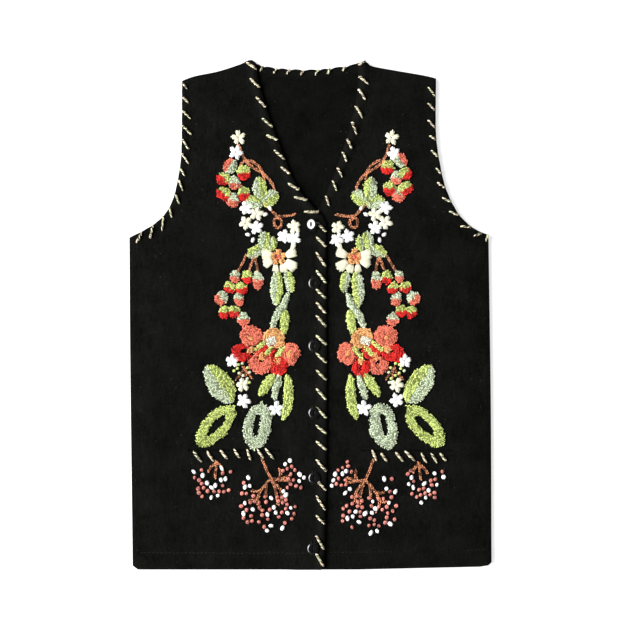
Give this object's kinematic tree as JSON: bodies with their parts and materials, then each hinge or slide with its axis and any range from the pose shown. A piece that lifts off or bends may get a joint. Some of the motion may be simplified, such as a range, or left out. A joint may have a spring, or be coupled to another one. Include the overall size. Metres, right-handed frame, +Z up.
{
  "type": "winter vest",
  "caption": "Sleeveless V-neck vest of thick black knit, buttoned and laid flat, with whip-stitched edges, slit pockets and raised wool embroidery of flowers, berries and leaves.",
  "frame": {"origin": "on the surface the vest lies on, under the middle of its bounding box", "axes": "+Y from the hem towards the neck, +X towards the wearer's left side (the viewer's right), +Z up out of the front"},
  "size_m": [0.466, 0.6568, 0.0184],
  "materials": {
    "knit": "matt brushed wool knit, black",
    "knit_inside": "matt wool knit, black, the inside of the back",
    "pocket_cloth": "plain black cotton pocketing",
    "button": "polished black resin"
  },
  "bodies": {
    "root": {"back": "knit_inside", "front_right": "knit", "front_left": "knit", "pocket_right": "pocket_cloth", "pocket_left": "pocket_cloth", "button_1": "button", "button_2": "button", "button_3": "button", "button_4": "button", "button_5": "button", "button_6": "button"}
  },
  "joints": []
}
